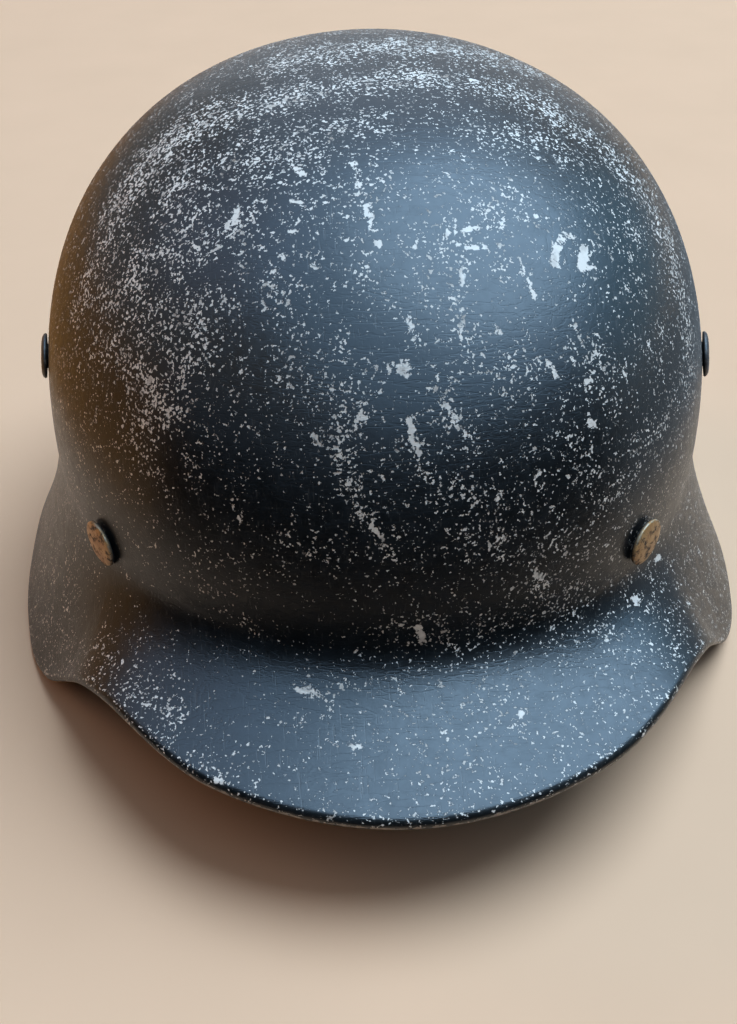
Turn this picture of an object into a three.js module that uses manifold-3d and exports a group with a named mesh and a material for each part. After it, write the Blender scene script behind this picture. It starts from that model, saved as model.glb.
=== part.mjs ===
// A pressed steel helmet: a one-piece shell with a rolled rim, three split rivets and two vent bushes.
// Millimetres, +Z up, the peak points to -Y. The origin is the middle of the box's base, where the rim rests.
import * as THREE from "three";
import { mergeVertices } from "three/addons/utils/BufferGeometryUtils.js";
import Module from "manifold-3d";

const wasm = await Module();
wasm.setup();

// Shell: sheet thickness, dome and rolled edge
const sheet = 1.2;
const crownHeight = 162;
const domeHalfWidth = 99.4;
const domeFront = 112.5; // from the dome's axis to the brow
const domeBack = 113.4; // from the dome's axis to the nape
const domePower = 2.34; // 2 is an ellipse, and more is fuller
const beadRadius = 2.2;
const footAngle = 25 * THREE.MathUtils.DEG2RAD; // half of the bead's arc that is worn flat underneath

// The dome ends at the waist, and the flare turns outwards at the bend
const waistHeight = { front: 55, side: 58, back: 56 };
const bendHeight = { front: 44, side: 40, back: 38 };

// The rim, a row per section of one half: degrees from the peak's middle, the rim's distance from the dome's
// axis, and its height above the surface that the helmet rests on
const rimSections = [
  { azimuth: 0, reach: 150.2, lift: 29.5 },
  { azimuth: 20, reach: 144.2, lift: 30.8 },
  { azimuth: 37, reach: 130.6, lift: 30.4 },
  { azimuth: 44, reach: 126.8, lift: 24.5 },
  { azimuth: 50, reach: 124.6, lift: 14.5 },
  { azimuth: 56, reach: 124.2, lift: 5 },
  { azimuth: 62, reach: 123.2, lift: 0.8 },
  { azimuth: 72, reach: 120, lift: 0 },
  { azimuth: 88, reach: 117.4, lift: 0 },
  { azimuth: 105, reach: 120, lift: 0 },
  { azimuth: 130, reach: 126, lift: 1.2 },
  { azimuth: 155, reach: 131, lift: 0.4 },
  { azimuth: 168, reach: 133.2, lift: 0 },
  { azimuth: 180, reach: 134, lift: 0 },
];

// Where the holes are punched. The whole pattern sits a little turned against the rim
const holeTurn = -4.5;
const fittings = [
  { name: "rivet_left", kind: "rivet", azimuth: -44.3, height: 57.4 },
  { name: "rivet_right", kind: "rivet", azimuth: 42.2, height: 61.5 },
  { name: "rivet_rear", kind: "rivet", azimuth: 180, height: 60 },
  { name: "vent_left", kind: "vent", azimuth: -77.7, height: 83.6 },
  { name: "vent_right", kind: "vent", azimuth: 77.7, height: 83.6 },
];

// Rivet: head, shank and the two prongs that are bent open inside
const gap = 0.3; // clearance between pieces
const rivetSeat = 0.85; // the head's underside stands off the curved wall by this much at its middle
const rivetHeadRadius = 6.6;
const rivetHeadHeight = 1.9;
const rivetHeadEdge = 0.9;
const rivetShankRadius = 2.4;
const prongHalfSpan = 9;
const prongWidth = 4.5;
const prongThickness = 1;
const prongDepth = 2.2; // from the outer face of the wall to the near face of the prongs
const prongSweep = 0.5; // how far the prong ends curl away from the wall

// Vent bush: domed outer flange, tube and the lip that is rolled over inside
const ventFlangeRadius = 6.6;
const ventFlangeEdge = 0.4; // thickness of the flange at its outer edge
const ventFlangeHeight = 1.55; // at its highest ring
const ventCrownRadius = 3.8; // of the highest ring
const ventMouthDepth = 0.6; // how far the flange rounds down into the bore
const ventTubeRadius = 3.6;
const ventBoreRadius = 3.1;
const ventLipRadius = 5.2;
const ventLipThickness = 1;
const ventLipDepth = 1.75; // from the outer face of the wall to the near face of the lip

// Facets
const azimuthSteps = 96;
const domeSteps = 13;
const flareSteps = 8;
const beadSideSteps = 3;
const innerDomeSteps = 11;
const innerFlareSteps = 6;
const roundSteps = 20;
const prongSteps = 6;
const headShares = [0.95, 0.8, 0.55, 0.28]; // of the head's radius, at each ring of its dome
const flangeSteps = 3; // from the flange's edge to its highest ring
const finePoints = 60; // on each curve of a section, for finding a place on the wall
const cutterLength = 12;
const mergeDistance = 1e-4;

const radians = THREE.MathUtils.degToRad;
const steel = new THREE.MeshStandardMaterial({ color: 0x262b33, roughness: 0.45, metalness: 0.3 });
const brass = new THREE.MeshStandardMaterial({ color: 0x8a6a3c, roughness: 0.5, metalness: 0.7 });
const darkSteel = new THREE.MeshStandardMaterial({ color: 0x1f1c1b, roughness: 0.55, metalness: 0.4 });

// The box's middle lies between the peak and the neck guard, so the dome's axis stands behind it
const peakReach = rimSections[0].reach;
const neckReach = rimSections[rimSections.length - 1].reach;
const axisY = (peakReach - neckReach) / 2;

const rimCurve = new THREE.CubicInterpolant(
  rimSections.map((row) => row.azimuth),
  rimSections.flatMap((row) => [row.reach, row.lift]),
  2,
);
rimCurve.settings = { endingStart: THREE.ZeroSlopeEnding, endingEnd: THREE.ZeroSlopeEnding };

function rimAt(azimuth) {
  const turned = THREE.MathUtils.euclideanModulo(azimuth + 180, 360) - 180;
  const [reach, lift] = rimCurve.evaluate(Math.abs(turned));
  return { reach, lift: Math.max(lift, 0) };
}

// A value that blends from the front over the side to the back
function around(azimuth, value) {
  const facing = Math.cos(radians(azimuth));
  const share = facing * facing;
  return value.side + share * ((facing > 0 ? value.front : value.back) - value.side);
}

function waistRadius(azimuth) {
  const facing = Math.cos(radians(azimuth));
  const sideways = Math.sin(radians(azimuth));
  return 1 / Math.hypot(sideways / domeHalfWidth, facing / (facing > 0 ? domeFront : domeBack));
}

// The curves of one upright section, with x as the distance from the dome's axis and y as the height
function sectionAt(azimuth) {
  const { reach, lift } = rimAt(azimuth);
  const waist = new THREE.Vector2(waistRadius(azimuth), around(azimuth, waistHeight));
  const bend = new THREE.Vector2(waist.x, around(azimuth, bendHeight));
  const bead = new THREE.Vector2(reach - beadRadius, lift + beadRadius * Math.cos(footAngle));
  // The flare runs onto the bead along the tangent from the bend point
  const toBead = bead.clone().sub(bend);
  const run = Math.sqrt(toBead.lengthSq() - beadRadius * beadRadius);
  const slope = toBead.angle() + Math.asin(beadRadius / toBead.length());
  const rim = new THREE.Vector2(Math.cos(slope), Math.sin(slope)).multiplyScalar(run).add(bend);
  return { waist, bead, run, rim, flare: new THREE.QuadraticBezierCurve(waist, bend, rim) };
}

function domePoint(waist, turn) {
  const power = 2 / domePower;
  const out = waist.x * Math.sin(turn) ** power;
  return new THREE.Vector2(out, waist.y + (crownHeight - waist.y) * Math.cos(turn) ** power);
}

// The outer wall from the crown down to the rim, with the flare cut short by a share of its length
function wallPoints(section, domeCount, flareCount, share) {
  const points = [];
  for (let i = 0; i < domeCount; i++) {
    points.push(domePoint(section.waist, ((i / domeCount) * Math.PI) / 2));
  }
  for (let i = 0; i <= flareCount; i++) {
    points.push(section.flare.getPoint((share * i) / flareCount));
  }
  return points;
}

// The same wall moved inwards by the sheet's thickness
function insetPoints(points) {
  return points.map((point, i) => {
    if (i === 0) return new THREE.Vector2(0, point.y - sheet);
    const next = points[Math.min(i + 1, points.length - 1)];
    const along = next.clone().sub(points[i - 1]).normalize();
    return new THREE.Vector2(point.x + along.y * sheet, point.y - along.x * sheet);
  });
}

function arcPoints(centre, from, to, steps) {
  const points = [];
  for (let i = 0; i <= steps; i++) {
    const angle = from + ((to - from) * i) / steps;
    points.push(new THREE.Vector2(Math.cos(angle), Math.sin(angle)).multiplyScalar(beadRadius).add(centre));
  }
  return points;
}

// One closed half section: down the outer wall, round the bead with its flat foot, and up the inner wall
function profileAt(azimuth) {
  const section = sectionAt(azimuth);
  const down = -Math.PI / 2;
  const start = section.rim.clone().sub(section.bead);
  const first = Math.atan2(start.y, start.x);
  const joint = Math.acos((beadRadius - sheet) / beadRadius);
  const last = first - 2 * Math.PI + joint;
  const outer = wallPoints(section, domeSteps, flareSteps, 1);
  const bead = [
    ...arcPoints(section.bead, first, down + footAngle, beadSideSteps).slice(1),
    ...arcPoints(section.bead, down - footAngle, last, beadSideSteps).slice(0, -1),
  ];
  const jointLength = Math.sqrt(sheet * (2 * beadRadius - sheet));
  const share = 1 - jointLength / (2 * section.run);
  const inner = insetPoints(wallPoints(section, innerDomeSteps, innerFlareSteps, share)).reverse();
  return [...outer, ...bead, ...inner];
}

function place(azimuth, point) {
  const angle = radians(azimuth);
  return new THREE.Vector3(point.x * Math.sin(angle), axisY - point.x * Math.cos(angle), point.y);
}

// The closed skin of the pressing: the sections joined round the dome's axis, with a pole inside and outside
function shellGeometry() {
  const profiles = [];
  for (let i = 0; i < azimuthSteps; i++) {
    const azimuth = (360 * i) / azimuthSteps;
    profiles.push(profileAt(azimuth).map((point) => place(azimuth, point)));
  }
  const rows = profiles[0].length;
  const faces = [];
  for (let i = 0; i < azimuthSteps; i++) {
    const here = profiles[i];
    const next = profiles[(i + 1) % azimuthSteps];
    for (let j = 0; j < rows - 1; j++) {
      if (j > 0) faces.push(here[j], here[j + 1], next[j]);
      if (j < rows - 2) faces.push(next[j], here[j + 1], next[j + 1]);
    }
  }
  return new THREE.BufferGeometry().setFromPoints(faces);
}

// The outer face of the wall at a height
function wallPoint(azimuth, height) {
  const points = wallPoints(sectionAt(azimuth), finePoints, finePoints, 1);
  const below = points.findIndex((point) => point.y < height);
  const [upper, lower] = [points[below - 1], points[below]];
  return place(azimuth, upper.clone().lerp(lower, (upper.y - height) / (upper.y - lower.y)));
}

// A frame on the outer face: X level along the wall, Y up along it and Z straight out
function wallFrame(azimuth, height) {
  const point = wallPoint(azimuth, height);
  const level = wallPoint(azimuth + 1, height).sub(wallPoint(azimuth - 1, height)).normalize();
  const upward = wallPoint(azimuth, height + 1).sub(wallPoint(azimuth, height - 1));
  const out = level.clone().cross(upward).normalize();
  return new THREE.Matrix4().makeBasis(level, out.clone().cross(level), out).setPosition(point);
}

// Solids for cutting and joining, and back
function solidFrom(geometry) {
  const bare = new THREE.BufferGeometry().setAttribute("position", geometry.getAttribute("position"));
  if (geometry.index) bare.setIndex(geometry.index);
  const merged = mergeVertices(bare, mergeDistance);
  const corners = merged.index.array;
  const kept = [];
  for (let i = 0; i < corners.length; i += 3) {
    const [a, b, c] = corners.slice(i, i + 3);
    if (a !== b && b !== c && c !== a) kept.push(a, b, c);
  }
  return new wasm.Manifold(
    new wasm.Mesh({
      numProp: 3,
      vertProperties: merged.attributes.position.array,
      triVerts: new Uint32Array(kept),
    }),
  );
}

function geometryFrom(solid) {
  const mesh = solid.getMesh();
  return new THREE.BufferGeometry()
    .setAttribute("position", new THREE.BufferAttribute(mesh.vertProperties, 3))
    .setIndex(new THREE.BufferAttribute(mesh.triVerts, 1));
}

// A turned piece round Z, from a profile of distances and heights
function turned(profile) {
  const points = profile.map(([out, height]) => new THREE.Vector2(out, height));
  return new THREE.LatheGeometry(points, roundSteps).rotateX(Math.PI / 2);
}

// Domed head and shank, with the two prongs as one shallow bow across the shank's end
function rivetGeometry() {
  const top = rivetSeat + rivetHeadHeight;
  const shoulder = rivetSeat + rivetHeadEdge;
  const crown = headShares.map((share) => [
    rivetHeadRadius * share,
    shoulder + (top - shoulder) * Math.sqrt(1 - share * share),
  ]);
  const headAndShank = turned([
    [0, -prongDepth - prongThickness / 2],
    [rivetShankRadius, -prongDepth - prongThickness / 2],
    [rivetShankRadius, rivetSeat],
    [rivetHeadRadius, rivetSeat],
    [rivetHeadRadius, shoulder],
    ...crown,
    [0, top],
  ]);
  const bow = new THREE.Shape();
  bow.moveTo(-prongHalfSpan, -prongDepth - prongSweep);
  bow.lineTo(-prongHalfSpan, -prongDepth - prongSweep - prongThickness);
  bow.quadraticCurveTo(
    0,
    -prongDepth + prongSweep - prongThickness,
    prongHalfSpan,
    -prongDepth - prongSweep - prongThickness,
  );
  bow.lineTo(prongHalfSpan, -prongDepth - prongSweep);
  bow.quadraticCurveTo(0, -prongDepth + prongSweep, -prongHalfSpan, -prongDepth - prongSweep);
  const prongs = new THREE.ExtrudeGeometry(bow, {
    depth: prongWidth,
    bevelEnabled: false,
    curveSegments: prongSteps,
  });
  prongs.translate(0, 0, -prongWidth / 2).rotateX(Math.PI / 2);
  return geometryFrom(solidFrom(headAndShank).add(solidFrom(prongs)));
}

// Flanged eyelet with a through hole
function ventGeometry() {
  const lipEnd = -ventLipDepth - ventLipThickness;
  const edge = gap + ventFlangeEdge;
  const top = gap + ventFlangeHeight;
  const dome = [];
  for (let i = 0; i <= flangeSteps; i++) {
    const turn = ((i / flangeSteps) * Math.PI) / 2;
    const out = ventCrownRadius + (ventFlangeRadius - ventCrownRadius) * Math.cos(turn);
    dome.push([out, edge + (top - edge) * Math.sin(turn)]);
  }
  return turned([
    [ventBoreRadius, lipEnd],
    [ventLipRadius, lipEnd],
    [ventLipRadius, -ventLipDepth],
    [ventTubeRadius, -ventLipDepth],
    [ventTubeRadius, gap],
    [ventFlangeRadius, gap],
    ...dome,
    [ventBoreRadius, top - ventMouthDepth],
    [ventBoreRadius, lipEnd],
  ]);
}

const kinds = {
  rivet: { geometry: rivetGeometry(), material: brass, hole: rivetShankRadius + gap },
  vent: { geometry: ventGeometry(), material: darkSteel, hole: ventTubeRadius + gap },
};

const helmet = new THREE.Group();
let shellSolid = solidFrom(shellGeometry());
for (const { name, kind, azimuth, height } of fittings) {
  const { geometry, material, hole } = kinds[kind];
  const frame = wallFrame(azimuth + holeTurn, height);
  const cutter = new THREE.CylinderGeometry(hole, hole, cutterLength, roundSteps).rotateX(Math.PI / 2);
  shellSolid = shellSolid.subtract(solidFrom(cutter.applyMatrix4(frame)));
  const fitting = new THREE.Mesh(geometry, material);
  fitting.name = name;
  fitting.applyMatrix4(frame);
  helmet.add(fitting);
}
const shell = new THREE.Mesh(geometryFrom(shellSolid), steel);
shell.name = "shell";
helmet.add(shell);

export default helmet;
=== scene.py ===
from statistics import NormalDist
from math import acos, asin, atan2, cos, degrees, hypot, pi, radians, sin, sqrt

import bmesh
import bpy
import numpy as np
from mathutils import Matrix, Vector, noise
from mathutils.bvhtree import BVHTree


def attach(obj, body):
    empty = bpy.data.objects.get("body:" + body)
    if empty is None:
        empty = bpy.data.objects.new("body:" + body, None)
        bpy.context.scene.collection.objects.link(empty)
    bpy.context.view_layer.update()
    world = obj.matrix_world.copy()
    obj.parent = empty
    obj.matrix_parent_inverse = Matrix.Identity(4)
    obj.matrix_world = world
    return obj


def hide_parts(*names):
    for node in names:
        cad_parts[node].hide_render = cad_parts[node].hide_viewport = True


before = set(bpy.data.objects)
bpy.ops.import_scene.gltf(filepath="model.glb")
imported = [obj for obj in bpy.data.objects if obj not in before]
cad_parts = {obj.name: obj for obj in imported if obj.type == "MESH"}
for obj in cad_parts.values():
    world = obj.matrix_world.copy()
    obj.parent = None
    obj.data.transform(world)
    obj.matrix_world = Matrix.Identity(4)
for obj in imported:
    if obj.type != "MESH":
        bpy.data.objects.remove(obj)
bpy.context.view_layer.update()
mm = 0.001
print("frame loaded with", len(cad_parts), "nodes")


# Camera at the viewing angle of the photograph, in millimetres and degrees
viewpoint = {
    "target": (-3.44, -12.92, 24.84),
    "azimuth": -3.51,
    "elevation": 38.49,
    "roll": -0.69,
    "distance": 391.56,
    "lens": 42.5,
    "sensor": 36,
    "imageWidth": 737,
    "imageHeight": 1024,
}


def viewAxes():
    turn, tilt, roll = (radians(viewpoint[name]) for name in ("azimuth", "elevation", "roll"))
    back = Vector((sin(turn) * cos(tilt), -cos(turn) * cos(tilt), sin(tilt)))
    level = Vector((cos(turn), sin(turn), 0))
    upright = back.cross(level)
    right = cos(roll) * level + sin(roll) * upright
    up = cos(roll) * upright - sin(roll) * level
    return right, up, back


viewRight, viewUp, viewBack = viewAxes()
eye = (Vector(viewpoint["target"]) + viewBack * viewpoint["distance"]) * mm
focalPixels = viewpoint["lens"] / viewpoint["sensor"] * viewpoint["imageHeight"]


def addCamera():
    data = bpy.data.cameras.new("camera")
    data.lens = viewpoint["lens"]
    data.sensor_width = viewpoint["sensor"]
    data.clip_start = 0.01
    camera = bpy.data.objects.new("camera", data)
    bpy.context.scene.collection.objects.link(camera)
    turned = Matrix((viewRight, viewUp, viewBack)).transposed().to_4x4()
    camera.matrix_world = Matrix.Translation(eye) @ turned
    bpy.context.scene.camera = camera


# Direction from the eye through a pixel of the photograph's frame
def pixelRay(x, y):
    across = x - viewpoint["imageWidth"] / 2
    down = y - viewpoint["imageHeight"] / 2
    return (viewRight * across - viewUp * down - viewBack * focalPixels).normalized()


# Node helpers
def addNode(tree, kind, feeds=None, **settings):
    made = tree.nodes.new(kind)
    for name, value in settings.items():
        setattr(made, name, value)
    for key, value in (feeds or {}).items():
        if isinstance(value, bpy.types.NodeSocket):
            tree.links.new(value, made.inputs[key])
        else:
            made.inputs[key].default_value = value
    return made


def maths(tree, operation, *values):
    return addNode(tree, "ShaderNodeMath", dict(enumerate(values)), operation=operation).outputs[0]


def blend(tree, share, first, second):
    feeds = {0: share, 6: first, 7: second}
    return addNode(tree, "ShaderNodeMix", feeds, data_type="RGBA").outputs[2]


def ranged(tree, value, low, high, toLow=0.0, toHigh=1.0):
    feeds = {"Value": value, "From Min": low, "From Max": high, "To Min": toLow, "To Max": toHigh}
    return addNode(tree, "ShaderNodeMapRange", feeds).outputs[0]


# Noise with features of about that size in millimetres
def noiseOn(tree, coords, size, detail=2.0, rough=0.5):
    feeds = {"Vector": coords, "Scale": 1 / (size * mm), "Detail": detail, "Roughness": rough}
    return addNode(tree, "ShaderNodeTexNoise", feeds)


def attribute(tree, name):
    return addNode(tree, "ShaderNodeAttribute", attribute_name=name).outputs["Fac"]


def stretched(tree, coords, turn, scale):
    feeds = {"Vector": coords, "Rotation": turn, "Scale": scale}
    return addNode(tree, "ShaderNodeMapping", feeds).outputs[0]


def newMaterial(name):
    material = bpy.data.materials.new(name)
    material.use_nodes = True
    tree = material.node_tree
    tree.nodes.clear()
    shader = addNode(tree, "ShaderNodeBsdfPrincipled")
    addNode(tree, "ShaderNodeOutputMaterial", {"Surface": shader.outputs[0]})
    coords = addNode(tree, "ShaderNodeTexCoord").outputs["Object"]
    return material, tree, shader, coords


def addBump(tree, shader, height, strength, depth):
    feeds = {"Strength": strength, "Distance": depth * mm, "Height": height}
    bump = addNode(tree, "ShaderNodeBump", feeds)
    tree.links.new(bump.outputs[0], shader.inputs["Normal"])


# Chain of points turned once round Z into a round body
def turnRound(bm, points, steps, closed=False):
    chain = [bm.verts.new(point) for point in points]
    followers = chain[1:] + chain[:1] if closed else chain[1:]
    edges = [bm.edges.new(pair) for pair in zip(chain, followers)]
    bmesh.ops.spin(bm, geom=chain + edges, cent=(0, 0, 0), axis=(0, 0, 1), angle=2 * pi, steps=steps,
                   use_merge=True)
    bmesh.ops.remove_doubles(bm, verts=bm.verts, dist=1e-4)
    bmesh.ops.recalc_face_normals(bm, faces=bm.faces)


# Pressed shell, the same sections as the solid, in millimetres and degrees
shell = {
    "sheet": 1.2,
    "crown": 162,
    "halfWidth": 99.4,
    "front": 112.5,
    "back": 113.4,
    "fullness": 2.34,  # 2 is an ellipse, and more is fuller
    "bead": 2.2,
    "foot": 25,
    "waist": {"front": 55, "side": 58, "back": 56},
    "bend": {"front": 44, "side": 40, "back": 38},
    # rim of one half: azimuth from the peak, distance from the dome's axis, lift
    "rim": [
        (0, 150.2, 29.5),
        (20, 144.2, 30.8),
        (37, 130.6, 30.4),
        (44, 126.8, 24.5),
        (50, 124.6, 14.5),
        (56, 124.2, 5),
        (62, 123.2, 0.8),
        (72, 120, 0),
        (88, 117.4, 0),
        (105, 120, 0),
        (130, 126, 1.2),
        (155, 131, 0.4),
        (168, 133.2, 0),
        (180, 134, 0),
    ],
    "around": 400,
    "domeRings": 96,
    "flareRings": 38,
    "beadRings": 16,
    "innerFlareRings": 18,
    "innerDomeRings": 42,
    "dents": [(58, 0.34), (23, 0.07)],  # size and depth of the pressing's faint waviness
    "dentCentre": 60,
    "dentStart": 4,  # height where the waviness starts, and the way over which it grows
    "dentGrowth": 20,
}
axisY = (shell["rim"][0][1] - shell["rim"][-1][1]) / 2


# Reach and lift of the rim, smooth through the rows and mirrored past both ends
def rimAt(azimuth):
    half = shell["rim"]
    before = [(-angle, reach, lift) for angle, reach, lift in half[2:0:-1]]
    after = [(360 - angle, reach, lift) for angle, reach, lift in half[-2:-4:-1]]
    rows = before + half + after
    turn = abs((azimuth + 180) % 360 - 180)
    i = max(k for k in range(2, len(rows) - 3) if rows[k][0] <= turn)
    width = rows[i + 1][0] - rows[i][0]
    share = (turn - rows[i][0]) / width
    values = []

    def steepness(k, column):
        return (rows[k + 1][column] - rows[k][column]) / (rows[k + 1][0] - rows[k][0])

    for column in (1, 2):
        steps = [steepness(k, column) for k in (i - 1, i, i + 1)]
        start, end = width * (steps[0] + steps[1]) / 2, width * (steps[1] + steps[2]) / 2
        rise = rows[i + 1][column] - rows[i][column]
        value = rows[i][column] + share * start + share ** 2 * (3 * rise - 2 * start - end)
        values.append(value + share ** 3 * (start + end - 2 * rise))
    return values[0], max(values[1], 0)


# A value that goes from the front over the side to the back
def goingRound(azimuth, value):
    facing = cos(radians(azimuth))
    return value["side"] + facing ** 2 * (value["front" if facing > 0 else "back"] - value["side"])


# Half section at an azimuth, as a function of the way down: 0 crown, 1 waist, 2 rim
def sectionAt(azimuth):
    facing, sideways = cos(radians(azimuth)), sin(radians(azimuth))
    length = shell["front"] if facing > 0 else shell["back"]
    radius = shell["bead"]
    reach, lift = rimAt(azimuth)
    oval = 1 / hypot(sideways / shell["halfWidth"], facing / length)
    waist = Vector((oval, goingRound(azimuth, shell["waist"])))
    bend = Vector((waist.x, goingRound(azimuth, shell["bend"])))
    bead = Vector((reach - radius, lift + radius * cos(radians(shell["foot"]))))
    toBead = bead - bend
    run = sqrt(toBead.length_squared - radius ** 2)
    slope = atan2(toBead.y, toBead.x) + asin(radius / toBead.length)
    rim = bend + run * Vector((cos(slope), sin(slope)))
    power = 2 / shell["fullness"]

    def wall(way):
        if way < 1:
            turn = max(way, 0) * pi / 2
            rise = (shell["crown"] - waist.y) * cos(turn) ** power
            return Vector((waist.x * sin(turn) ** power, waist.y + rise))
        t = way - 1
        return waist * (1 - t) ** 2 + bend * 2 * t * (1 - t) + rim * t ** 2

    return wall, bead, run, slope, lift


# Closed half section: down the outer wall, round the bead with its flat foot, up the inner wall
def sectionPoints(azimuth):
    wall, bead, run, slope, lift = sectionAt(azimuth)
    sheet, radius = shell["sheet"], shell["bead"]
    dome, flare = shell["domeRings"], shell["flareRings"]
    points = [wall(i / dome) for i in range(dome)] + [wall(1 + i / flare) for i in range(flare + 1)]
    first = slope + pi / 2  # the bead starts where the flare runs onto it
    joint = acos((radius - sheet) / radius)
    for i in range(1, shell["beadRings"]):
        angle = first - i / shell["beadRings"] * (2 * pi - joint)
        around = bead + radius * Vector((cos(angle), sin(angle)))
        points.append(Vector((around.x, max(around.y, lift))))
    share = 1 - sqrt(sheet * (2 * radius - sheet)) / (2 * run)
    dome, flare = shell["innerDomeRings"], shell["innerFlareRings"]
    ways = [1 + share * i / flare for i in range(flare, 0, -1)] + [i / dome for i in range(dome, 0, -1)]
    step = 0.002
    for way in ways:
        along = (wall(way + step) - wall(way - step)).normalized()
        points.append(wall(way) + sheet * Vector((along.y, -along.x)))
    points.append(Vector((0, shell["crown"] - sheet)))
    return points


def placed(azimuth, point):
    turn = radians(azimuth)
    return Vector((point.x * sin(turn), axisY - point.x * cos(turn), point.y)) * mm


# Frame on the outer face: X level, Y up along the wall, Z straight out
def wallFrame(azimuth, height):
    def wallPoint(turn, z):
        wall = sectionAt(turn)[0]
        low, high = 0.0, 2.0
        for _ in range(40):  # halved until the height is met
            middle = (low + high) / 2
            if wall(middle).y > z:
                low = middle
            else:
                high = middle
        return placed(turn, wall(low))

    point = wallPoint(azimuth, height)
    level = (wallPoint(azimuth + 1, height) - wallPoint(azimuth - 1, height)).normalized()
    upward = wallPoint(azimuth, height + 1) - wallPoint(azimuth, height - 1)
    out = level.cross(upward).normalized()
    return Matrix.Translation(point) @ Matrix((level, out.cross(level), out)).transposed().to_4x4()


# Fittings of the shell. The punched pattern sits a little turned against the rim
holeTurn = -4.5
fittings = {
    "rivet_left": {"azimuth": -44.3, "height": 57.4, "hole": 2.7},
    "rivet_right": {"azimuth": 42.2, "height": 61.5, "hole": 2.7},
    "rivet_rear": {"azimuth": 180, "height": 60, "hole": 2.7},
    "vent_left": {"azimuth": -77.7, "height": 83.6, "hole": 3.9},
    "vent_right": {"azimuth": 77.7, "height": 83.6, "hole": 3.9},
}
for row in fittings.values():
    row["frame"] = wallFrame(row["azimuth"] + holeTurn, row["height"])


def newObject(name, bm, smooth=True):
    for face in bm.faces:
        face.smooth = smooth
    mesh = bpy.data.meshes.new(name)
    bm.to_mesh(mesh)
    bm.free()
    made = bpy.data.objects.new(name, mesh)
    bpy.context.scene.collection.objects.link(made)
    return made


# Faint waviness of the pressing, none at the foot
def dent(point):
    outward = (point - Vector((0, axisY, shell["dentCentre"])) * mm).normalized()
    push = sum(depth * noise.noise(point / (size * mm)) for size, depth in shell["dents"])
    grown = max(point.z / mm - shell["dentStart"], 0) / shell["dentGrowth"]
    return outward * push * mm * min(grown, 1)


def makeShell():
    around = shell["around"]
    sections = [sectionPoints(360 * i / around) for i in range(around)]
    rings = len(sections[0])
    bm = bmesh.new()
    # turned as a tube whose heights are ring numbers, then every point goes to its section
    turnRound(bm, [(0, -1 if 0 < i < rings - 1 else 0, i) for i in range(rings)], around)
    inside = bm.verts.layers.float.new("inside")
    beadTurn = bm.verts.layers.float.new("beadTurn")
    rimWay = bm.verts.layers.float.new("rimWay")
    rimRing = shell["domeRings"] + shell["flareRings"]
    innerRing = rimRing + shell["beadRings"]
    for vert in bm.verts:
        ring = round(vert.co.z)
        step = round(degrees(atan2(vert.co.x, -vert.co.y)) * around / 360) % around
        section = sections[step]
        vert.co = placed(360 * step / around, section[ring])
        vert.co += dent(vert.co)
        vert[inside] = 1.0 if ring >= innerRing else 0.0
        # share of the way round the bead, and millimetres from the bead's start up the outer wall
        vert[beadTurn] = min(max((ring - rimRing) / shell["beadRings"], 0), 1)
        vert[rimWay] = (section[ring] - section[rimRing]).length if ring < rimRing else 0.0
    bmesh.ops.recalc_face_normals(bm, faces=bm.faces)
    return newObject("helmet_shell", bm)


# Holes for the fittings, cut through the wall
def punchHoles(piece):
    bm = bmesh.new()
    for row in fittings.values():
        radius = row["hole"] * mm
        bmesh.ops.create_cone(bm, cap_ends=True, segments=40, radius1=radius, radius2=radius, depth=12 * mm,
                              matrix=row["frame"])
    punch = newObject("punch", bm, smooth=False)
    cut = piece.modifiers.new("holes", "BOOLEAN")
    cut.object = punch
    cut.operation = "DIFFERENCE"
    cut.solver = "EXACT"
    bpy.context.view_layer.objects.active = piece
    bpy.ops.object.modifier_apply(modifier=cut.name)
    bpy.data.objects.remove(punch)


# Wear of the paint, charted below
wear = {
    "basePercent": (2.9, 1.3),  # everywhere, in fine and in coarse specks
    "joining": 2.5,  # how zones that overlap add up: 1 sums them, and more takes the higher one
    "rimBand": 2.0,  # millimetres above the bead
    "rimPercent": (8, 0.6),
    "insideSpared": 0.7,
    "grainLevels": (0.5, 0.081),  # middle and spread of the grain's noise
    "shareLimits": (0.0005, 0.6),
    "beadStart": 0.1,
}

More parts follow.
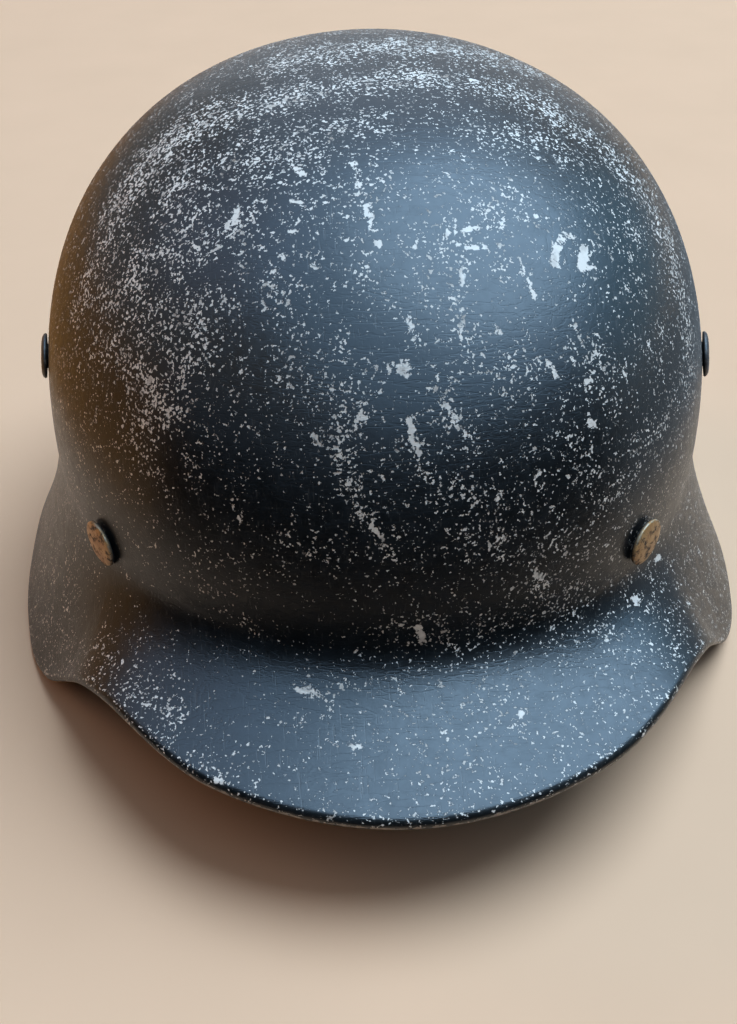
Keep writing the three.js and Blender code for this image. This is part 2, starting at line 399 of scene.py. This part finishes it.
# Worn zones in the photograph's pixels: from, to, spread, percent worn in fine and in coarse specks
wornZones = [
    # upper left side
    (112, 215, 180, 135, 30, 28, 9),
    (180, 132, 290, 98, 26, 24, 7),
    (175, 190, 255, 150, 28, 22, 7),
    (262, 168, 310, 150, 24, 16, 5),
    (82, 300, 110, 240, 26, 18, 4),
    (120, 290, 190, 232, 32, 19, 4),
    (205, 248, 248, 214, 16, 18, 14),
    (100, 350, 150, 312, 26, 14, 3),
    (155, 335, 210, 305, 24, 15, 5),
    (132, 372, 163, 402, 20, 26, 9),
    (180, 372, 198, 350, 20, 18, 8),
    (132, 424, 176, 412, 16, 20, 6),
    (140, 445, 150, 468, 16, 9, 2),
    (186, 456, 200, 480, 12, 6, 3),
    # crown and the upper right edge
    (290, 96, 420, 76, 26, 24, 8),
    (420, 78, 545, 104, 26, 24, 8),
    (285, 62, 400, 46, 30, 22, 7),
    (400, 46, 520, 66, 30, 22, 7),
    (300, 134, 372, 124, 20, 15, 6),
    (480, 128, 560, 150, 26, 13, 5),
    (545, 109, 620, 165, 26, 18, 6),
    (625, 168, 668, 240, 20, 13, 5),
    (668, 250, 690, 350, 20, 18, 5),
    # middle
    (300, 190, 365, 200, 26, 6.8, 3.8),
    (265, 275, 290, 330, 26, 7.5, 3.8),
    (300, 365, 340, 410, 30, 9, 4.5),
    (345, 265, 375, 285, 18, 6, 3),
    (440, 225, 520, 215, 24, 5.2, 3),
    (488, 206, 516, 200, 10, 10.5, 9),
    (436, 262, 455, 262, 14, 7.5, 6),
    (620, 215, 640, 235, 20, 9, 3.8),
    (440, 310, 460, 340, 24, 6.8, 3.8),
    (585, 352, 600, 376, 24, 9, 6),
    (490, 360, 530, 372, 22, 7.5, 4.5),
    (440, 395, 470, 440, 18, 7.5, 6),
    (338, 432, 352, 492, 15, 15, 4.5),
    (390, 440, 415, 465, 20, 6, 3),
    (575, 445, 592, 470, 16, 7.5, 6),
    (440, 492, 500, 510, 22, 8.2, 4.5),
    (460, 540, 500, 552, 22, 8.2, 4.5),
    (540, 580, 575, 600, 24, 9, 4.5),
    (560, 540, 590, 552, 22, 7.5, 3.8),
    (365, 505, 395, 560, 16, 6, 3.8),
    (285, 540, 310, 552, 11, 6, 4.5),
    (322, 552, 340, 560, 11, 4.5, 3.8),
    (610, 500, 640, 470, 26, 4.5, 1.5),
    (640, 440, 690, 400, 24, 7.5, 2.2),
    (206, 588, 248, 628, 13, 5.2, 2.2),
    (405, 620, 450, 640, 22, 6, 3.8),
    (575, 630, 690, 640, 26, 4, 1.6),
    # flaps and the peak
    (137, 690, 172, 716, 12, 18, 8),
    (100, 650, 140, 680, 16, 8, 2),
    (315, 680, 330, 690, 14, 8, 4),
    (440, 715, 540, 725, 24, 4.5, 2.4),
    (630, 660, 680, 640, 14, 6, 3),
    (190, 745, 215, 775, 9, 3, 2),
]

# Sound paint, charted the same way: from, to, spread, share of the usual wear that is missing
soundZones = [
    (100, 530, 290, 500, 40, 0.8),
    (100, 600, 330, 610, 50, 0.9),
    (210, 690, 280, 690, 40, 0.85),
    (240, 760, 380, 780, 45, 0.5),
    (500, 320, 590, 320, 30, 0.5),
    (320, 730, 600, 740, 50, 0.15),
]

# Bigger chips and scratches, charted the same way: from, to, width
bigChips = [
    (564, 236, 557, 248, 7),
    (557, 246, 555, 264, 10),
    (570, 236, 575, 237, 5),
    (584, 250, 582, 266, 11),
    (580, 268, 592, 266, 8),
    (519, 258, 526, 278, 4),
    (526, 278, 534, 297, 5),
    (389, 364, 390, 369, 8),
    (403, 364, 405, 371, 11),
    (411, 420, 413, 438, 8),
    (413, 438, 420, 453, 6),
    (364, 415, 357, 422, 9),
    (352, 432, 354, 428, 4),
    (314, 437, 318, 444, 6),
    (418, 628, 422, 640, 8),
    (294, 688, 315, 691, 5),
    (320, 696, 323, 699, 5),
    (237, 208, 235, 222, 6),
    (297, 169, 303, 173, 7),
    (291, 232, 293, 231, 5),
    (264, 200, 265, 200, 5),
    (293, 201, 301, 203, 5),
    (298, 283, 300, 283, 6),
    (313, 265, 322, 268, 4),
    (282, 256, 284, 258, 6),
    (586, 386, 591, 378, 6),
    (626, 362, 625, 376, 5),
    (590, 422, 594, 426, 8),
    (538, 470, 537, 486, 4),
    (498, 494, 501, 500, 7),
    (494, 546, 506, 538, 6),
    (534, 572, 541, 578, 6),
    (548, 362, 556, 377, 5),
    (556, 377, 563, 376, 5),
    (456, 225, 458, 245, 2.6),
    (459, 306, 461, 340, 1.6),
    (408, 318, 415, 338, 4),
    (496, 326, 500, 332, 5),
    (634, 598, 638, 602, 8),
    (519, 715, 522, 714, 7),
    (351, 747, 361, 746, 6),
    (213, 779, 222, 782, 5),
    (657, 214, 660, 240, 2.4),
    (664, 216, 674, 270, 1.8),
    (668, 222, 676, 262, 1.4),
    (676, 473, 692, 475, 1.6),
    (637, 537, 643, 527, 4),
    (644, 523, 653, 516, 2.6),
    (631, 550, 634, 543, 3),
    (656, 560, 660, 556, 5),
]

# Dotted scratches, charted the same way: from, to, width
scratches = [
    (352, 160, 366, 205, 3.2),
    (366, 205, 378, 245, 3.0),
    (463, 229, 500, 226, 2.2),
    (500, 226, 538, 214, 2.2),
    (466, 247, 500, 245, 2.2),
    (462, 262, 462, 340, 1.4),
    (440, 395, 470, 440, 5.0),
    (232, 490, 240, 520, 4.0),
    (355, 505, 380, 535, 5.0),
    (600, 640, 690, 605, 4.0),
]

# Worn zones out of the photograph's sight: azimuth and height from and to, spread in mm, percentages
hiddenZones = [
    (150, 150, 210, 150, 30, 9, 3),
    (160, 110, 200, 120, 30, 7, 3.5),
    (110, 120, 130, 100, 25, 6, 3),
    (-120, 125, -140, 95, 30, 10, 3.5),
    (180, 60, 150, 55, 20, 6, 3),
    (-160, 45, -130, 40, 20, 5, 3),
    (95, 60, 120, 40, 20, 5, 3),
    (-95, 50, -110, 40, 18, 4, 2.5),
    (170, 25, 200, 20, 16, 7, 4),
]


# Distance of every point from the straight line between two ends
def lineDistance(points, start, end):
    along = np.array(end - start)
    share = np.clip((points - np.array(start)) @ along / max(along @ along, 1e-12), 0, 1)
    return np.linalg.norm(points - np.array(start) - share[:, None] * along, axis=1)


def chartWear(piece):
    mesh = piece.data
    bm = bmesh.new()
    bm.from_mesh(mesh)
    tree = BVHTree.FromBMesh(bm)
    bm.free()
    count = len(mesh.vertices)
    points = np.zeros(count * 3, np.float32)
    mesh.vertices.foreach_get("co", points)
    points = points.reshape(-1, 3).astype(float)

    def onShell(x, y):
        hit = tree.ray_cast(eye, pixelRay(x, y))[0]
        return hit, (hit - eye).length / focalPixels

    def charted(row):
        start, pixel = onShell(*row[:2])
        return start, onShell(*row[2:4])[0], row[4] * pixel

    def hidden(row):
        return wallFrame(*row[:2]).translation, wallFrame(*row[2:4]).translation, row[4] * mm

    def near(start, end, spread):
        return np.exp(-(lineDistance(points, start, end) / spread) ** 2)

    def readLayer(name):
        values = np.zeros(count, np.float32)
        mesh.attributes[name].data.foreach_get("value", values)
        return values

    usual = np.ones(count)
    for row in soundZones:
        usual *= 1 - row[5] * near(*charted(row))
    zones = [(near(*charted(row)), row[5:]) for row in wornZones]
    zones += [(near(*hidden(row)), row[5:]) for row in hiddenZones]
    atRim = np.clip(1 - readLayer("rimWay") / wear["rimBand"], 0, 1)
    atRim = atRim * (readLayer("beadTurn") < wear["beadStart"])
    zones.append((atRim, wear["rimPercent"]))
    outside = 1 - wear["insideSpared"] * readLayer("inside")

    # percent worn becomes the level that the grain has to pass
    def levels(kind):
        total = (wear["basePercent"][kind] * usual) ** wear["joining"]
        for close, percents in zones:
            total += (percents[kind] * close) ** wear["joining"]
        share = total ** (1 / wear["joining"]) * outside / 100
        grain = NormalDist(*wear["grainLevels"])
        return np.array([grain.inv_cdf(1 - part) for part in np.clip(share, *wear["shareLimits"])])

    def nearest(rows):
        edge = np.full(count, 9.0)
        for row in rows:
            start, end, width = charted(row)
            edge = np.minimum(edge, (lineDistance(points, start, end) - width / 2) / mm)
        return edge

    layers = {"fineLevel": levels(0), "coarseLevel": levels(1), "chipEdge": nearest(bigChips),
              "scratchEdge": nearest(scratches)}
    for name, values in layers.items():
        layer = mesh.attributes.new(name, "FLOAT", "POINT")
        layer.data.foreach_set("value", values.astype(np.float32))


# Paint broken through where a grain passes the charted level, in small clumps
def specks(tree, coords, grain, level, clump):
    grains = noiseOn(tree, coords, *grain["noise"]).outputs[0]
    grains = maths(tree, "MULTIPLY_ADD", clump, grain["clumping"], grains)
    return ranged(tree, maths(tree, "SUBTRACT", grains, level), -grain["soft"], grain["soft"])


shellPaint = {
    "slate": (0.0019, 0.0019, 0.0018, 1),
    "slateLight": (0.0036, 0.0038, 0.0038, 1),
    "bare": (0.62, 0.56, 0.49, 1),
    "bareBrown": (0.17, 0.125, 0.09, 1),
    "roughness": (0.30, 0.40),
    "bareRoughness": 0.62,
    "shine": 0.5,
    # noises as size in millimetres, detail and roughness
    "fine": {"noise": (0.85, 2.5, 0.55), "soft": 0.015, "clumping": 0.045},
    "coarse": {"noise": (1.5, 2.5, 0.55), "soft": 0.012, "clumping": 0.05},
    "clumps": (5, 3, 0.6),
    "torn": (1.5, 4, 0.65),
    "skips": (1.8, 3, 0.6),
    "rimGrain": (2.6, 4, 0.65),
    "clouds": (26, 4, 0.6),
    "stains": (6, 3, 0.6),
    "patches": (3, 3, 0.6),
    "peel": (1.0, 3, 0.6),
    "creases": (2.4, 3, 0.6),
    "hairlines": (1.6, 2, 0.5),
    "creaseStretch": (0.16, 0.7, 1),
    "hairlineStretch": (3.0, 0.07, 0.6),
    "hairlineTurn": 28,
    "hairlineTone": 0.025,
    "tornReach": 0.85,  # millimetres that a chip strays from its chart
    "skipReach": 0.7,
    "edgeSoft": 0.1,
    "rimMiddle": 0.29,  # the worn line on the bead, as a share of the way round it
    "rimNarrow": 3.2,
    "rimStain": 0.85,
    "bumpWeights": {"peel": 0.6, "creases": 0.45, "hairlines": 0.35, "bare": 0.8},
    "bumpStrength": 0.6,
    "bumpDepth": 0.08,
}


def makeShellPaint():
    finish = shellPaint
    material, tree, shader, coords = newMaterial("shell_paint")

    def noiseNamed(name, where=coords):
        return noiseOn(tree, where, *finish[name]).outputs[0]

    clump = ranged(tree, noiseNamed("clumps"), 0.3, 0.7, -1, 1)
    fine = specks(tree, coords, finish["fine"], attribute(tree, "fineLevel"), clump)
    coarse = specks(tree, coords, finish["coarse"], attribute(tree, "coarseLevel"), clump)
    bare = maths(tree, "MAXIMUM", fine, coarse)

    # charted chips with torn edges, and scratches that skip
    soft, reach, skip = finish["edgeSoft"], finish["tornReach"], finish["skipReach"]
    torn = ranged(tree, noiseNamed("torn"), 0.3, 0.7, -reach, reach)
    chips = ranged(tree, maths(tree, "ADD", attribute(tree, "chipEdge"), torn), soft, -soft)
    skips = ranged(tree, noiseNamed("skips"), 0.42, 0.58, skip, -skip)
    dots = ranged(tree, maths(tree, "ADD", attribute(tree, "scratchEdge"), skips), soft, -soft)
    bare = maths(tree, "MAXIMUM", bare, maths(tree, "MAXIMUM", chips, dots))

    # rim worn along the bead's lower outer edge
    offLine = maths(tree, "SUBTRACT", attribute(tree, "beadTurn"), finish["rimMiddle"])
    lowEdge = maths(tree, "ABSOLUTE", offLine)
    gone = maths(tree, "MULTIPLY_ADD", lowEdge, finish["rimNarrow"], noiseNamed("rimGrain"))
    rimWorn = ranged(tree, gone, 0.58, 0.52)
    bare = maths(tree, "MAXIMUM", bare, rimWorn)

    tone = ranged(tree, noiseNamed("clouds"), 0.35, 0.65)
    paint = blend(tree, tone, finish["slate"], finish["slateLight"])
    slanting = stretched(tree, coords, (0, 0, radians(finish["hairlineTurn"])), finish["hairlineStretch"])
    hairlines = ranged(tree, noiseNamed("hairlines", slanting), 0.62, 0.70)
    paint = blend(tree, maths(tree, "MULTIPLY", hairlines, finish["hairlineTone"]), paint, finish["bare"])
    stain = ranged(tree, noiseNamed("stains"), 0.5, 0.78)
    stain = maths(tree, "MAXIMUM", stain, maths(tree, "MULTIPLY", rimWorn, finish["rimStain"]))
    metal = blend(tree, stain, finish["bare"], finish["bareBrown"])
    tree.links.new(blend(tree, bare, paint, metal), shader.inputs["Base Color"])

    satin = ranged(tree, noiseNamed("patches"), 0.3, 0.7, *finish["roughness"])
    rough = maths(tree, "MAXIMUM", satin, maths(tree, "MULTIPLY", bare, finish["bareRoughness"]))
    tree.links.new(rough, shader.inputs["Roughness"])
    shader.inputs["Specular IOR Level"].default_value = finish["shine"]

    # orange peel, with level creases, long hairlines and the bare spots sunk into it
    level = noiseNamed("creases", stretched(tree, coords, (0, 0, 0), finish["creaseStretch"]))
    creases = ranged(tree, maths(tree, "ABSOLUTE", maths(tree, "SUBTRACT", level, 0.5)), 0.04, 0.0)
    weights = finish["bumpWeights"]
    height = maths(tree, "MULTIPLY", noiseNamed("peel"), weights["peel"])
    for name, sunk in (("creases", creases), ("hairlines", hairlines), ("bare", bare)):
        height = maths(tree, "SUBTRACT", height, maths(tree, "MULTIPLY", sunk, weights[name]))
    addBump(tree, shader, height, finish["bumpStrength"], finish["bumpDepth"])
    return material


# Split rivet: domed head, shank and two prongs bent open inside, in millimetres
rivet = {
    "seat": 0.85,
    "headRadius": 6.6,
    "headHeight": 1.9,
    "headEdge": 0.9,
    "headChamfer": (0.3, 0.25),
    "headSteps": 14,
    "rubbedAndLitShare": 0.3,  # lower part of the dome that is rubbed paler and carries a painted highlight
    "shank": 2.4,
    "prongSpan": 9,
    "prongWidth": 4.5,
    "prongThickness": 1,
    "prongDepth": 2.2,
    "prongSweep": 0.5,
    "prongTaper": 0.28,
    "around": 64,
}


def makeRivet(name):
    size = rivet
    top, shoulder = size["seat"] + size["headHeight"], size["seat"] + size["headEdge"]
    end = -size["prongDepth"] - size["prongThickness"] / 2
    inset, raised = size["headChamfer"]
    outline = [
        (0, end),
        (size["shank"], end),
        (size["shank"], size["seat"]),
        (size["headRadius"] - inset, size["seat"]),
        (size["headRadius"], size["seat"] + raised),
    ]
    for i in range(size["headSteps"] + 1):
        turn = i / size["headSteps"] * pi / 2
        outline.append((size["headRadius"] * cos(turn), shoulder + (top - shoulder) * sin(turn)))
    bm = bmesh.new()
    # the two prongs as one bow across the shank's end
    bmesh.ops.create_cube(bm, size=1)
    prongs = (2 * size["prongSpan"], size["prongWidth"], size["prongThickness"])
    bmesh.ops.scale(bm, vec=prongs, verts=bm.verts)
    across = [edge for edge in bm.edges if abs(edge.verts[0].co.x - edge.verts[1].co.x) > 1]
    bmesh.ops.subdivide_edges(bm, edges=across, cuts=15, use_grid_fill=True)
    middle = size["prongDepth"] + size["prongThickness"] / 2
    for vert in bm.verts:
        out = vert.co.x / size["prongSpan"]
        vert.co.z -= middle + size["prongSweep"] * out ** 2
        vert.co.y *= 1 - size["prongTaper"] * out ** 2
    turnRound(bm, [(out, 0, z) for out, z in outline], size["around"])
    # painted shade below the shoulder, and rubbed metal with a painted highlight along it
    headSide = bm.verts.layers.float.new("headSide")
    rubbedAndLitRing = bm.verts.layers.float.new("rubbedAndLitRing")
    slack = 0.05
    for vert in bm.verts:
        above = vert.co.z - shoulder
        vert[headSide] = 1.0 if above < -slack else 0.0
        vert[rubbedAndLitRing] = 1.0 if -slack <= above < size["rubbedAndLitShare"] * (top - shoulder) else 0.0
    bmesh.ops.transform(bm, matrix=fittings[name]["frame"] @ Matrix.Scale(mm, 4), verts=bm.verts)
    return newObject(name + "_piece", bm)


rivetFinish = {
    "ochre": (0.30, 0.14, 0.040, 1),
    "pale": (0.44, 0.25, 0.095, 1),
    "stain": (0.045, 0.022, 0.009, 1),
    # near black painted shade for the head's side below the shoulder
    "paintedSideShade": (0.006, 0.005, 0.004, 1),
    # paler metal for the shoulder ring: rubbed wear and a painted highlight
    "worn": (0.30, 0.23, 0.15, 1),
    "metallic": 0.3,
    "roughness": (0.42, 0.75),
    # noises as size in millimetres, detail and roughness
    "clouds": (2.8, 4, 0.65),
    "stainPatches": (2.0, 4, 0.7),
    "rubbing": (2.4, 4, 0.65),
    "grain": (0.8, 4, 0.6),
    "bumpStrength": 0.5,
    "bumpDepth": 0.1,
}


def makeRivetFinish():
    finish = rivetFinish
    material, tree, shader, coords = newMaterial("rivet_finish")
    headSide, rubbedAndLitRing = attribute(tree, "headSide"), attribute(tree, "rubbedAndLitRing")
    cloudy = ranged(tree, noiseOn(tree, coords, *finish["clouds"]).outputs[0], 0.38, 0.62)
    metal = blend(tree, cloudy, finish["ochre"], finish["pale"])
    stains = ranged(tree, noiseOn(tree, coords, *finish["stainPatches"]).outputs[0], 0.50, 0.62)
    metal = blend(tree, stains, metal, finish["stain"])
    # paler metal along the shoulder ring: rubbed wear and a painted highlight line
    rubbed = ranged(tree, noiseOn(tree, coords, *finish["rubbing"]).outputs[0], 0.46, 0.56)
    metal = blend(tree, maths(tree, "MULTIPLY", rubbed, rubbedAndLitRing), metal, finish["worn"])
    # the head's side below the shoulder is painted near black: painted shade under the head
    metal = blend(tree, headSide, metal, finish["paintedSideShade"])
    tree.links.new(metal, shader.inputs["Base Color"])
    shader.inputs["Metallic"].default_value = finish["metallic"]
    dull = maths(tree, "MAXIMUM", stains, headSide)
    tree.links.new(ranged(tree, dull, 0, 1, *finish["roughness"]), shader.inputs["Roughness"])
    grain = noiseOn(tree, coords, *finish["grain"]).outputs[0]
    addBump(tree, shader, grain, finish["bumpStrength"], finish["bumpDepth"])
    return material


# Vent bush: flanged eyelet with the inner end rolled over, in millimetres
vent = {
    "gap": 0.3,
    "flange": 6.6,
    "edge": 0.4,
    "height": 1.55,
    "crown": 3.8,  # radius of the flange's highest ring
    "mouth": 0.6,
    "tube": 3.6,
    "bore": 3.1,
    "lip": 5.2,
    "lipThickness": 1,
    "lipDepth": 1.75,
    "lipRound": (0.4, 0.5),  # inwards and upwards
    "lipLean": 0.2,
    "flangeInset": 0.15,
    "arcSteps": 9,
    "around": 64,
}


def makeVent(name):
    size = vent
    low, edge, top = (size["gap"] + rise for rise in (0, size["edge"], size["height"]))
    lipTop, lipEnd = -size["lipDepth"], -size["lipDepth"] - size["lipThickness"]
    inset, raised = size["lipRound"]
    outline = [
        (size["bore"], lipEnd + raised),
        (size["bore"] + inset, lipEnd),
        (size["lip"] - inset, lipEnd),
        (size["lip"], lipEnd + raised),
        (size["lip"] - size["lipLean"], lipTop),
        (size["tube"], lipTop),
        (size["tube"], low),
        (size["flange"] - size["flangeInset"], low),
    ]
    quarter = [i / size["arcSteps"] * pi / 2 for i in range(size["arcSteps"] + 1)]
    flangeWidth, mouthWidth = size["flange"] - size["crown"], size["crown"] - size["bore"]
    for turn in quarter:
        outline.append((size["crown"] + flangeWidth * cos(turn), edge + (top - edge) * sin(turn)))
    for turn in quarter[1:]:
        sunk = size["mouth"] * (1 - cos(turn))
        outline.append((size["bore"] + mouthWidth * (1 - sin(turn)), top - sunk))
    bm = bmesh.new()
    turnRound(bm, [(out, 0, z) for out, z in outline], size["around"], closed=True)
    bmesh.ops.transform(bm, matrix=fittings[name]["frame"] @ Matrix.Scale(mm, 4), verts=bm.verts)
    return newObject(name + "_piece", bm)


ventFinish = {
    "paint": (0.020, 0.016, 0.0135, 1),
    "worn": (0.09, 0.066, 0.048, 1),
    "roughness": (0.42, 0.6),
    # noises as size in millimetres, detail and roughness
    "rubbing": (1.8, 4, 0.7),
    "grain": (0.7, 4, 0.6),
    "bumpStrength": 0.5,
    "bumpDepth": 0.1,
}


def makeVentFinish():
    finish = ventFinish
    material, tree, shader, coords = newMaterial("vent_finish")
    rubbed = ranged(tree, noiseOn(tree, coords, *finish["rubbing"]).outputs[0], 0.5, 0.68)
    tree.links.new(blend(tree, rubbed, finish["paint"], finish["worn"]), shader.inputs["Base Color"])
    tree.links.new(ranged(tree, rubbed, 0, 1, *finish["roughness"]), shader.inputs["Roughness"])
    grain = noiseOn(tree, coords, *finish["grain"]).outputs[0]
    addBump(tree, shader, grain, finish["bumpStrength"], finish["bumpDepth"])
    return material


# Plain pale floor, soft light, a dim surround, and upright panels round the helmet that only reflections see
stage = {
    "floorSize": 12,  # metres, as for the lights
    "floorNoise": (60, 3, 0.5),
    "floorRoughness": 0.6,
    "aim": (0, 0, 0.07),
    "floor": (0.60, 0.385, 0.245, 1),
    "floorLight": (0.65, 0.415, 0.265, 1),
    "surround": (0.34, 0.32, 0.30),
    # direction as azimuth and elevation, distance, size, radiance, and the surfaces that it reaches
    "lights": [
        ("sky", 84, 64, 4, 5.0, (3.1, 4.75, 6.5), "gloss"),
        ("glow", 45, 66, 3, 7.5, (0.85, 1.65, 2.65), "gloss"),
        ("side", 108, 12, 4, 4, (0.05, 0.45, 0.80), "gloss"),
        ("behind", 172, 10, 4, 4, (0.35, 0.42, 0.50), "gloss"),
        ("high_behind", 176, 50, 4, 3.6, (0.50, 0.75, 1.10), "gloss"),
        ("high_left", -105, 52, 4, 3.6, (0.45, 0.65, 1.05), "gloss"),
        ("key", 120, 66, 4, 3.4, (6.2, 8.4, 10.9), "matte"),
        ("fill", 60, 70, 3, 5.0, (0.55, 0.72, 0.92), "matte"),
        ("lamp", -115, 14, 4, 2.4, (4.2, 2.6, 1.8), "matte"),
    ],
    # from and to in degrees round the dome's axis, radiance inwards, profile as radius and height in mm
    "cardSteps": 24,
    "cardFacing": 30,  # height of the point on the dome's axis that the panels face, in millimetres
    "cards": [
        ("card_front", -62, 58, (0.01, 0.01, 0.01), [(200, 0), (200, 110)]),
        ("card_brow", -62, 58, (0.18, 0.24, 0.33), [(200, 110), (200, 156)]),
        ("card_left", -165, -62, (0.46, 0.23, 0.07), [(210, 0), (210, 128)]),
        ("card_right", 58, 150, (0.30, 0.36, 0.42), [(210, 0), (210, 92)]),
    ],
}


def makeFloor():
    bm = bmesh.new()
    bmesh.ops.create_grid(bm, x_segments=1, y_segments=1, size=stage["floorSize"] / 2)
    floor = newObject("floor", bm, smooth=False)
    material, tree, shader, coords = newMaterial("floor_finish")
    tone = noiseOn(tree, coords, *stage["floorNoise"]).outputs[0]
    tree.links.new(blend(tree, tone, stage["floor"], stage["floorLight"]), shader.inputs["Base Color"])
    shader.inputs["Roughness"].default_value = stage["floorRoughness"]
    shader.inputs["Specular IOR Level"].default_value = 0.0
    floor.data.materials.append(material)


def makeCards():
    for name, start, end, radiance, profile in stage["cards"]:
        bm = bmesh.new()
        chain = [bm.verts.new((0, -radius * mm, height * mm)) for radius, height in profile]
        bmesh.ops.rotate(bm, verts=chain, cent=(0, 0, 0), matrix=Matrix.Rotation(radians(start), 3, "Z"))
        edges = [bm.edges.new(pair) for pair in zip(chain, chain[1:])]
        bmesh.ops.spin(bm, geom=chain + edges, cent=(0, 0, 0), axis=(0, 0, 1), angle=radians(end - start),
                       steps=stage["cardSteps"])
        bmesh.ops.translate(bm, verts=bm.verts, vec=(0, axisY * mm, 0))
        bm.normal_update()
        inside = Vector((0, axisY, stage["cardFacing"])) * mm
        turned = [face for face in bm.faces if face.normal.dot(inside - face.calc_center_median()) < 0]
        bmesh.ops.reverse_faces(bm, faces=turned)
        card = newObject(name, bm)
        material, tree, shader, _ = newMaterial(name + "_finish")
        shader.inputs["Base Color"].default_value = (0, 0, 0, 1)
        shader.inputs["Specular IOR Level"].default_value = 0.0
        shader.inputs["Emission Color"].default_value = (*radiance, 1)
        shader.inputs["Emission Strength"].default_value = 1.0
        backSide = addNode(tree, "ShaderNodeNewGeometry").outputs["Backfacing"]
        tree.links.new(maths(tree, "SUBTRACT", 1.0, backSide), shader.inputs["Alpha"])
        card.data.materials.append(material)
        card.visible_camera = card.visible_shadow = card.visible_diffuse = False


def makeLights():
    world = bpy.data.worlds.new("surround")
    world.use_nodes = True
    world.node_tree.nodes["Background"].inputs["Color"].default_value = (*stage["surround"], 1)
    world.cycles_visibility.diffuse = False
    bpy.context.scene.world = world
    for name, azimuth, elevation, distance, size, radiance, reaches in stage["lights"]:
        data = bpy.data.lights.new(name, "AREA")
        data.shape = "DISK"
        data.size = size
        data.energy = max(radiance) * pi * pi * size ** 2 / 4  # radiance times pi times the disk's area
        data.color = [part / max(radiance) for part in radiance]
        light = bpy.data.objects.new(name, data)
        bpy.context.scene.collection.objects.link(light)
        turn, tilt = radians(azimuth), radians(elevation)
        toward = Vector((sin(turn) * cos(tilt), -cos(turn) * cos(tilt), sin(tilt)))
        light.location = Vector(stage["aim"]) + toward * distance
        light.rotation_mode = "QUATERNION"
        light.rotation_quaternion = toward.to_track_quat("Z", "Y")
        light.visible_camera = False
        light.visible_diffuse = reaches == "matte"
        light.visible_glossy = reaches == "gloss"
    bpy.context.scene.view_settings.view_transform = "Standard"


addCamera()
makeFloor()
makeCards()
makeLights()
print("camera, floor and light set")

helmetShell = makeShell()
punchHoles(helmetShell)
chartWear(helmetShell)
helmetShell.data.materials.append(makeShellPaint())
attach(helmetShell, "root")
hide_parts("shell")
print("shell made with", len(helmetShell.data.polygons), "faces")

rivetMaterial = makeRivetFinish()
ventMaterial = makeVentFinish()
for name in fittings:
    isRivet = name.startswith("rivet")
    piece = makeRivet(name) if isRivet else makeVent(name)
    piece.data.materials.append(rivetMaterial if isRivet else ventMaterial)
    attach(piece, "root")
    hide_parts(name)
print("rivets and vents made")
